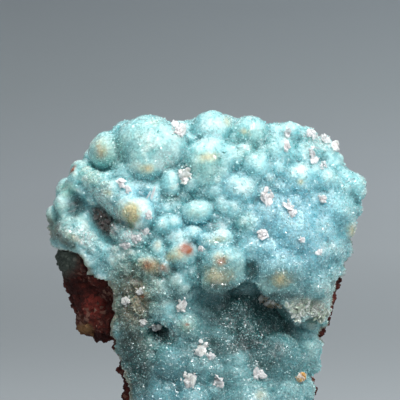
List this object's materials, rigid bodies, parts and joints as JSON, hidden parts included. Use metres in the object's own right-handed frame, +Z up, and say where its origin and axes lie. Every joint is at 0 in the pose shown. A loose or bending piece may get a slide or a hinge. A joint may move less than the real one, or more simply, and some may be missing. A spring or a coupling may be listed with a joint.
{
  "type": "hemimorphite specimen",
  "caption": "Blue-green knobbly hemimorphite crust with pale bladed crystals, grown over red-brown limonite rock, standing on a flat cut base.",
  "frame": {"origin": "middle of the bounding box at the flat base", "axes": "+Z up along the specimen's height, -Y out of the crusted front, +X to the right as the front is seen"},
  "size_m": [0.0806, 0.0384, 0.085],
  "materials": {
    "hemimorphite": "waxy translucent blue-green crust with sparkling druse",
    "limonite": "matt granular red-brown rock"
  },
  "bodies": {
    "root": {"hemimorphite_crust": "hemimorphite", "limonite_matrix": "limonite"}
  },
  "joints": []
}
